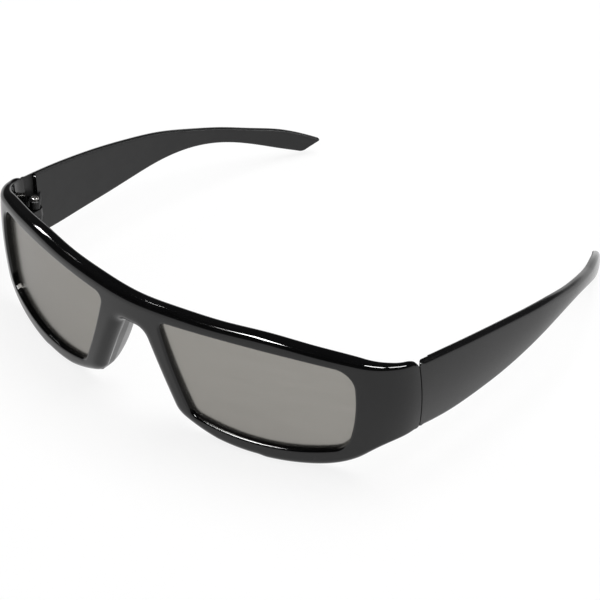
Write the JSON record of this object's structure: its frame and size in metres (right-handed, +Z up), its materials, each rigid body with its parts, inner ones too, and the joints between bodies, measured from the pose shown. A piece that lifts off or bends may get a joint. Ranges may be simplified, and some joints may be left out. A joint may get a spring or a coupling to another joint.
{
  "type": "eclipse glasses",
  "caption": "Wraparound eclipse viewing glasses: one-piece front with flat-topped brow, filter lenses and folding curved temples.",
  "frame": {"origin": "on the surface the glasses rest on, midway between the front of the bridge and the temple tips, on the plane of symmetry", "axes": "+X to the wearer's left, +Y back from the lenses to the temple tips, +Z up, with the temples open"},
  "size_m": [0.149, 0.1354, 0.0367],
  "materials": {
    "frame_plastic": "polished moulded black",
    "temple_plastic": "semi-gloss moulded black",
    "solar_filter": "silver-grey filter sheet, opaque to room light",
    "screw_steel": "turned and slotted"
  },
  "bodies": {
    "front": {"front_frame": "frame_plastic", "left_filter_lens": "solar_filter", "right_filter_lens": "solar_filter"},
    "left_temple_arm": {"left_temple": "temple_plastic", "left_hinge_screw": "screw_steel"},
    "right_temple_arm": {"right_temple": "temple_plastic", "right_hinge_screw": "screw_steel"}
  },
  "joints": [
    {"name": "left_temple_fold", "type": "hinge", "parent": "front", "child": "left_temple_arm", "pos_m": [0.06881, -0.03647, 0.0208], "axis": [0, 0, 1], "range_deg": [0, 90]},
    {"name": "right_temple_fold", "type": "hinge", "parent": "front", "child": "right_temple_arm", "pos_m": [-0.06881, -0.03647, 0.0208], "axis": [0, 0, -1], "range_deg": [0, 80]}
  ]
}
